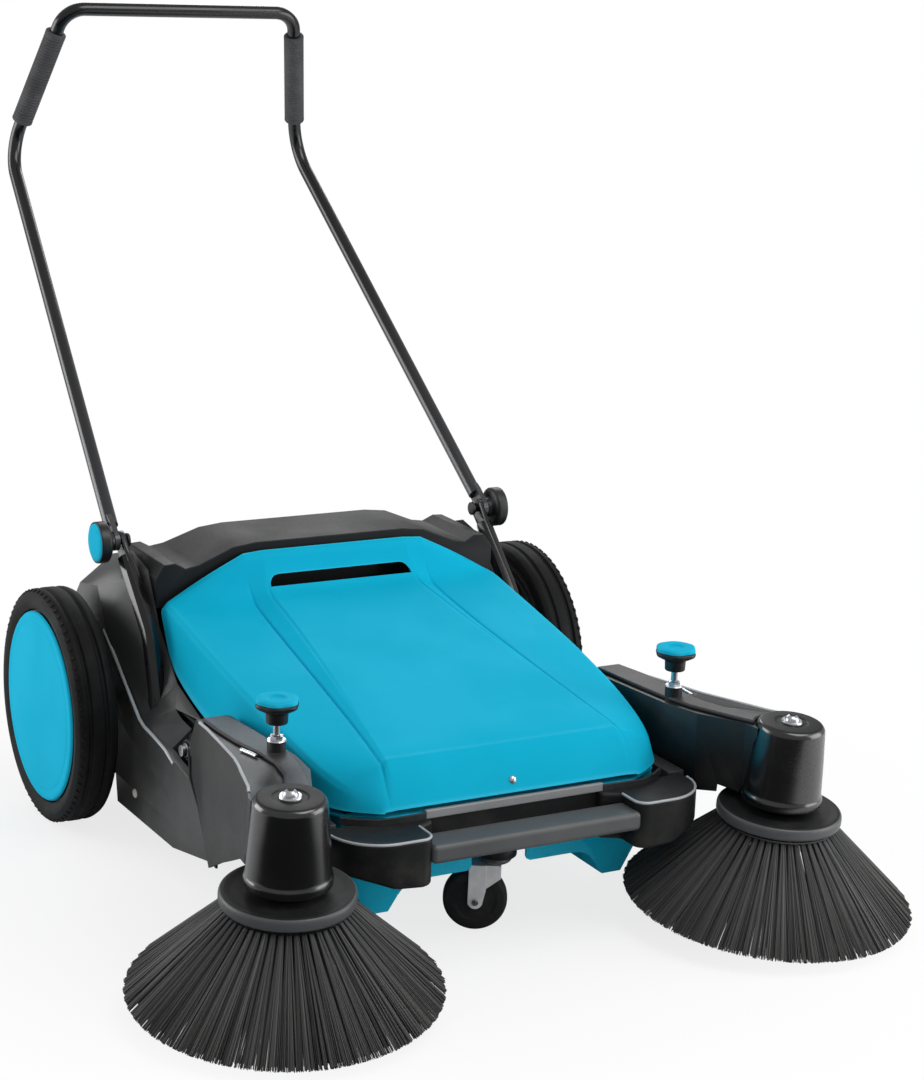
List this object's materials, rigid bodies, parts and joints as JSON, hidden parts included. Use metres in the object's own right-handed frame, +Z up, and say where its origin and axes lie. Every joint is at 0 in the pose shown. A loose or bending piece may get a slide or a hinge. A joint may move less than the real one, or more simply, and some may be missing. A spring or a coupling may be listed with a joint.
{
  "type": "manual floor sweeper",
  "caption": "Walk-behind push sweeper with side brushes on adjustable arms, a lift-out debris hopper, large rear wheels and a folding tube handle",
  "frame": {"origin": "centre of the machine's box, on the floor plane under the wheels", "axes": "+X to the machine's left as its user pushes it, +Y to the rear where the user walks, +Z up"},
  "size_m": [0.9782, 1.3436, 1.0123],
  "materials": {
    "black_plastic": "satin moulded",
    "blue_plastic": "semi-gloss moulded",
    "black_rubber": "matte",
    "tyre_rubber": "matte",
    "black_tube": "gloss powder coat",
    "bright_zinc": "bright zinc plate",
    "steel": "bright drawn",
    "black_bristle": "extruded bristle",
    "white_nylon": "moulded nylon"
  },
  "bodies": {
    "chassis": {"chassis_housing": "black_plastic", "rear_cover": "black_plastic", "side_frame_left": "black_plastic", "side_frame_right": "black_plastic", "side_flap_left": "black_rubber", "side_flap_right": "black_rubber", "rear_flap": "black_rubber", "front_bumper": "black_plastic", "axle_bush_left": "white_nylon", "axle_bush_right": "white_nylon", "handle_post_left": "black_tube", "handle_post_right": "black_tube", "drive_belt": "black_rubber", "caster_plate": "bright_zinc", "height_bracket_left": "bright_zinc", "height_bracket_right": "bright_zinc"},
    "hopper": {"hopper_tub": "blue_plastic", "hopper_lid": "blue_plastic"},
    "axle": {"wheel_axle": "steel", "drive_gear": "white_nylon", "axle_pulley": "white_nylon"},
    "main_brush": {"main_brush_shaft": "steel", "main_brush_roller": "black_bristle", "brush_pinion": "white_nylon"},
    "cross_drive": {"cross_shaft": "steel", "cross_pulley": "white_nylon"},
    "handle": {"handle_bar": "black_tube", "handle_grip_left": "black_rubber", "handle_grip_right": "black_rubber"},
    "caster_swivel": {"caster_fork": "bright_zinc", "caster_axle": "bright_zinc"},
    "caster_roller": {"caster_wheel": "black_rubber"},
    "left_wheel": {"wheel_tyre_left": "tyre_rubber", "wheel_rim_left": "black_plastic", "wheel_disc_left": "blue_plastic"},
    "left_arm": {"arm_housing_left": "black_plastic", "arm_cover_left": "black_plastic", "brush_cup_left": "black_plastic", "arm_belt_left": "black_rubber"},
    "left_height_knob": {"height_knob_left": "black_plastic", "height_knob_cap_left": "blue_plastic"},
    "left_side_brush": {"brush_spindle_left": "steel", "brush_flange_left": "black_plastic", "side_brush_left": "black_bristle"},
    "left_handle_knob": {"handle_knob_left": "black_plastic", "handle_knob_cap_left": "blue_plastic"},
    "right_wheel": {"wheel_tyre_right": "tyre_rubber", "wheel_rim_right": "black_plastic", "wheel_disc_right": "blue_plastic"},
    "right_arm": {"arm_housing_right": "black_plastic", "arm_cover_right": "black_plastic", "brush_cup_right": "black_plastic", "arm_belt_right": "black_rubber"},
    "right_height_knob": {"height_knob_right": "black_plastic", "height_knob_cap_right": "blue_plastic"},
    "right_side_brush": {"brush_spindle_right": "steel", "brush_flange_right": "black_plastic", "side_brush_right": "black_bristle"},
    "right_handle_knob": {"handle_knob_right": "black_plastic", "handle_knob_cap_right": "blue_plastic"}
  },
  "joints": [
    {"name": "left_wheel_spin", "type": "hinge", "parent": "chassis", "child": "left_wheel", "pos_m": [-0.335, 0.15668, 0.15], "axis": [1, 0, 0], "continuous": true},
    {"name": "right_wheel_spin", "type": "hinge", "parent": "chassis", "child": "right_wheel", "pos_m": [0.335, 0.15668, 0.15], "axis": [1, 0, 0], "continuous": true},
    {"name": "axle_spin", "type": "hinge", "parent": "chassis", "child": "axle", "pos_m": [0, 0.15668, 0.15], "axis": [1, 0, 0], "continuous": true},
    {"name": "main_brush_spin", "type": "hinge", "parent": "chassis", "child": "main_brush", "pos_m": [0, 0.01668, 0.116], "axis": [1, 0, 0], "continuous": true},
    {"name": "cross_shaft_spin", "type": "hinge", "parent": "chassis", "child": "cross_drive", "pos_m": [0, -0.11332, 0.165], "axis": [1, 0, 0], "continuous": true},
    {"name": "left_arm_lift", "type": "hinge", "parent": "chassis", "child": "left_arm", "pos_m": [0, -0.11332, 0.165], "axis": [-1, 0, 0], "range_deg": [0, 2.5]},
    {"name": "left_side_brush_spin", "type": "hinge", "parent": "left_arm", "child": "left_side_brush", "pos_m": [-0.316, -0.50432, 0.138], "axis": [-0.0279, -0.0758, 0.9967], "continuous": true},
    {"name": "left_height_knob_turn", "type": "hinge", "parent": "left_arm", "child": "left_height_knob", "pos_m": [-0.262, -0.35132, 0.2515], "axis": [0, 0, 1], "range_deg": [-360, 360]},
    {"name": "right_arm_lift", "type": "hinge", "parent": "chassis", "child": "right_arm", "pos_m": [0, -0.11332, 0.165], "axis": [-1, 0, 0], "range_deg": [0, 2.5]},
    {"name": "right_side_brush_spin", "type": "hinge", "parent": "right_arm", "child": "right_side_brush", "pos_m": [0.316, -0.50432, 0.138], "axis": [0.0279, -0.0758, 0.9967], "continuous": true},
    {"name": "right_height_knob_turn", "type": "hinge", "parent": "right_arm", "child": "right_height_knob", "pos_m": [0.262, -0.35132, 0.2515], "axis": [0, 0, 1], "range_deg": [-360, 360]},
    {"name": "handle_fold", "type": "hinge", "parent": "chassis", "child": "handle", "pos_m": [0, 0.13968, 0.362], "axis": [1, 0, 0], "range_deg": [0, 125]},
    {"name": "left_handle_knob_turn", "type": "hinge", "parent": "handle", "child": "left_handle_knob", "pos_m": [-0.28, 0.13968, 0.362], "axis": [-1, 0, 0], "range_deg": [0, 360]},
    {"name": "right_handle_knob_turn", "type": "hinge", "parent": "handle", "child": "right_handle_knob", "pos_m": [0.28, 0.13968, 0.362], "axis": [1, 0, 0], "range_deg": [0, 360]},
    {"name": "caster_turn", "type": "hinge", "parent": "chassis", "child": "caster_swivel", "pos_m": [0, -0.39132, 0.0827], "axis": [0, 0, 1], "continuous": true},
    {"name": "caster_roll", "type": "hinge", "parent": "caster_swivel", "child": "caster_roller", "pos_m": [-0.01922, -0.38062, 0.0375], "axis": [0.4863, 0.8738, 0], "continuous": true},
    {"name": "hopper_lift", "type": "slide", "parent": "chassis", "child": "hopper", "axis": [0, 0, 1], "range_m": [0, 0.12]}
  ],
  "couplings": [
    {"joint": "axle_spin", "follows": "left_wheel_spin", "ratio": 1},
    {"joint": "main_brush_spin", "follows": "left_wheel_spin", "ratio": -3},
    {"joint": "cross_shaft_spin", "follows": "left_wheel_spin", "ratio": 2},
    {"joint": "left_side_brush_spin", "follows": "left_wheel_spin", "ratio": 1.76},
    {"joint": "right_side_brush_spin", "follows": "left_wheel_spin", "ratio": -1.76}
  ]
}
